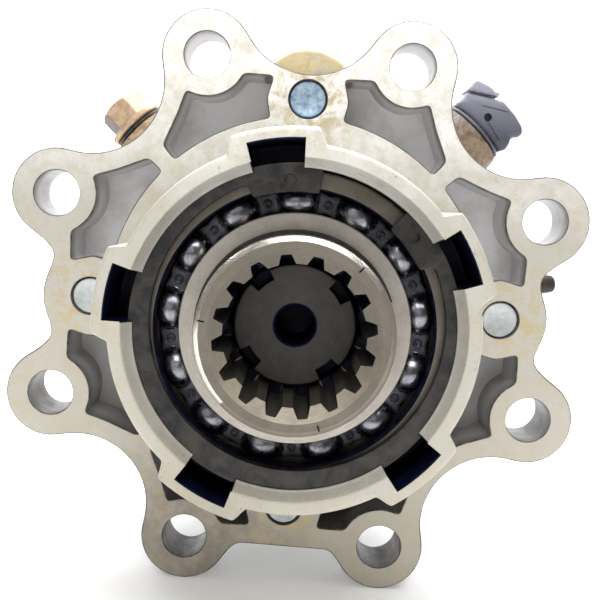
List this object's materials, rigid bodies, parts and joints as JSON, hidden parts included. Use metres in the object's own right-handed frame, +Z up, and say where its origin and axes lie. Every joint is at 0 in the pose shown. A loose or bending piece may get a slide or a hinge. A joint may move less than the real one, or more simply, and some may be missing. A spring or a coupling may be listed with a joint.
{
  "type": "planetary gear set",
  "caption": "Coaxial planetary reduction in a cast bell housing with an eight-lobed flange, front ball bearing, splined input hub and central output shaft.",
  "frame": {"origin": "on the gear axis at the flange's front face", "axes": "-Y is forward along the gear axis, out of the splined hub; +Z is up, towards the top blind plug; +X is to the right seen from the front"},
  "size_m": [0.1968, 0.176, 0.1968],
  "materials": {
    "casting": "sand-cast body with machined faces, brown oil stains",
    "bearing_steel": "ground steel with a film of oil",
    "gear_steel": "machined steel",
    "dark_steel": "oil-darkened steel",
    "ball_steel": "polished",
    "zinc": "zinc-plated, pale blue",
    "copper": "copper-coloured plating, worn",
    "bronze": "plain bearing bronze",
    "sensor_plastic": "moulded, satin",
    "seal_rubber": "moulded rubber"
  },
  "bodies": {
    "housing": {"housing": "casting", "rear_cover": "casting", "cover_bolt_1": "zinc", "cover_bolt_2": "zinc", "cover_bolt_3": "zinc", "cover_bolt_4": "zinc", "cover_bolt_5": "zinc", "cover_bolt_6": "zinc", "cover_bolt_7": "zinc", "cover_bolt_8": "zinc", "blind_plug_right": "zinc", "blind_plug_top": "zinc", "blind_plug_left": "zinc", "blind_plug_bottom": "zinc", "drain_plug": "copper", "drain_plug_washer": "copper", "sensor_body": "sensor_plastic", "sensor_connector": "sensor_plastic", "breather_cap": "seal_rubber", "bearing_outer_ring": "bearing_steel", "retaining_ring": "dark_steel", "ring_gear": "gear_steel", "rear_bush": "bronze", "output_seal": "seal_rubber"},
    "carrier": {"main_shaft": "dark_steel", "carrier_front_plate": "gear_steel", "carrier_rear_plate": "gear_steel", "planet_pin_1": "dark_steel", "planet_pin_2": "dark_steel", "planet_pin_3": "dark_steel", "planet_pin_4": "dark_steel", "inner_thrust_washer": "bronze", "rear_thrust_washer": "bronze"},
    "input": {"input_hub": "gear_steel", "bearing_inner_ring": "bearing_steel", "hub_circlip": "dark_steel"},
    "cage": {"ball_01": "ball_steel", "ball_02": "ball_steel", "ball_03": "ball_steel", "ball_04": "ball_steel", "ball_05": "ball_steel", "ball_06": "ball_steel", "ball_07": "ball_steel", "ball_08": "ball_steel", "ball_09": "ball_steel", "ball_10": "ball_steel", "ball_11": "ball_steel", "ball_12": "ball_steel", "ball_13": "ball_steel", "cage_front": "dark_steel", "cage_rear": "dark_steel"},
    "planet_1": {"planet_gear_1": "gear_steel", "planet_bush_1": "bronze"},
    "planet_2": {"planet_gear_2": "gear_steel", "planet_bush_2": "bronze"},
    "planet_3": {"planet_gear_3": "gear_steel", "planet_bush_3": "bronze"},
    "planet_4": {"planet_gear_4": "gear_steel", "planet_bush_4": "bronze"}
  },
  "joints": [
    {"name": "carrier_spin", "type": "hinge", "parent": "housing", "child": "carrier", "pos_m": [0, 0, 0], "axis": [0, -1, 0], "continuous": true},
    {"name": "input_spin", "type": "hinge", "parent": "housing", "child": "input", "pos_m": [0, 0, 0], "axis": [0, -1, 0], "continuous": true},
    {"name": "cage_spin", "type": "hinge", "parent": "housing", "child": "cage", "pos_m": [0, 0, 0], "axis": [0, -1, 0], "continuous": true},
    {"name": "planet_1_spin", "type": "hinge", "parent": "carrier", "child": "planet_1", "pos_m": [0.0414, 0.028, 0], "axis": [0, -1, 0], "continuous": true},
    {"name": "planet_2_spin", "type": "hinge", "parent": "carrier", "child": "planet_2", "pos_m": [0, 0.028, 0.0414], "axis": [0, -1, 0], "continuous": true},
    {"name": "planet_3_spin", "type": "hinge", "parent": "carrier", "child": "planet_3", "pos_m": [-0.0414, 0.028, 0], "axis": [0, -1, 0], "continuous": true},
    {"name": "planet_4_spin", "type": "hinge", "parent": "carrier", "child": "planet_4", "pos_m": [0, 0.028, -0.0414], "axis": [0, -1, 0], "continuous": true}
  ],
  "couplings": [
    {"joint": "input_spin", "follows": "carrier_spin", "ratio": 2.875},
    {"joint": "cage_spin", "follows": "carrier_spin", "ratio": 1.2333},
    {"joint": "planet_1_spin", "follows": "carrier_spin", "ratio": -4.2857},
    {"joint": "planet_2_spin", "follows": "carrier_spin", "ratio": -4.2857},
    {"joint": "planet_3_spin", "follows": "carrier_spin", "ratio": -4.2857},
    {"joint": "planet_4_spin", "follows": "carrier_spin", "ratio": -4.2857}
  ]
}
